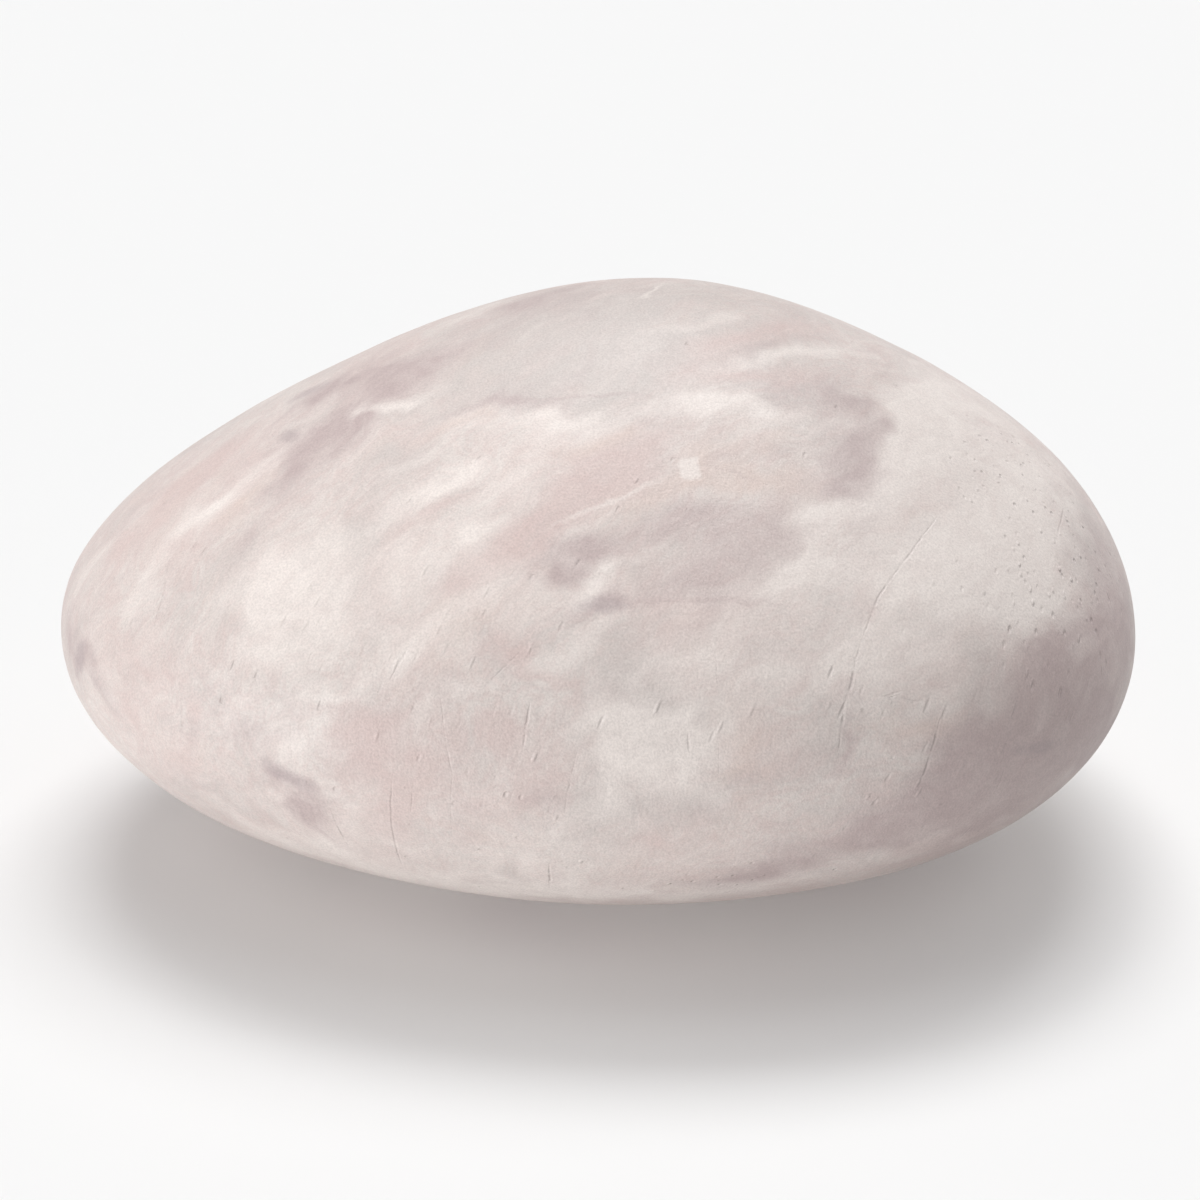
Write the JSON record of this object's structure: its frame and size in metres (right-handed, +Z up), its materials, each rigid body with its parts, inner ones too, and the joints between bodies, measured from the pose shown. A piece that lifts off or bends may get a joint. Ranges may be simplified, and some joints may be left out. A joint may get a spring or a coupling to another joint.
{
  "type": "river pebble",
  "caption": "Smooth water-worn pebble of pale pink and cream mottled stone, oval in plan with a low off-centre crest, resting on a small worn flat.",
  "frame": {"origin": "on the surface that the stone rests on, under the middle of its length and width", "axes": "+X along the stone's length towards its blunt end, +Y across it towards the back, +Z up"},
  "size_m": [0.06, 0.047, 0.0313],
  "materials": {
    "mottled_stone": "satin"
  },
  "bodies": {
    "root": {"pebble": "mottled_stone"}
  },
  "joints": []
}
